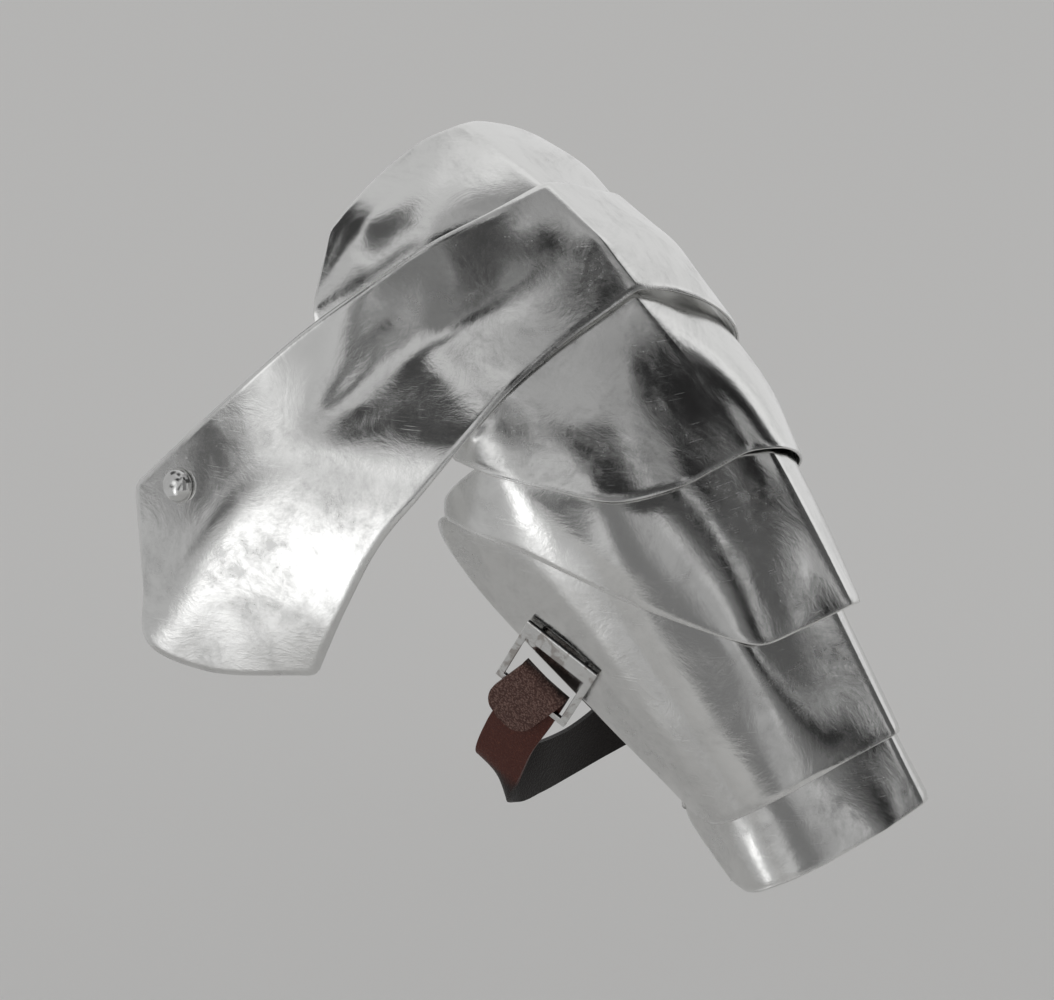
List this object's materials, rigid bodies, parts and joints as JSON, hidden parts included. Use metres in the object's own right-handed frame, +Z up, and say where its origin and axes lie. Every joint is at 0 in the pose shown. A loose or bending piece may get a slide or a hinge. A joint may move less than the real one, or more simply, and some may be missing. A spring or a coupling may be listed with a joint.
{
  "type": "pauldron",
  "caption": "Polished plate shoulder guard with a long wing over the chest, overlapping arm lames, a domed stud and a buckled leather arm strap",
  "frame": {"origin": "on the ridge of the shoulder plate, where the guard sits on the wearer's left shoulder", "axes": "+X outward from the neck to the arm, +Y to the wearer's back, +Z up"},
  "size_m": [0.3674, 0.248, 0.3577],
  "materials": {
    "plate_steel": "polished plate, lightly worn, with cloudy dull patches and fine scratches",
    "fitting_steel": "bright polished",
    "strap_leather": "pebbled, dull"
  },
  "bodies": {
    "root": {"neck_plate": "plate_steel", "shoulder_plate": "plate_steel", "upper_lame": "plate_steel", "middle_lame": "plate_steel", "lower_lame": "plate_steel", "bottom_lame": "plate_steel", "wing_stud": "fitting_steel", "buckle_frame": "fitting_steel", "arm_strap": "strap_leather", "strap_rivet": "fitting_steel"}
  },
  "joints": []
}
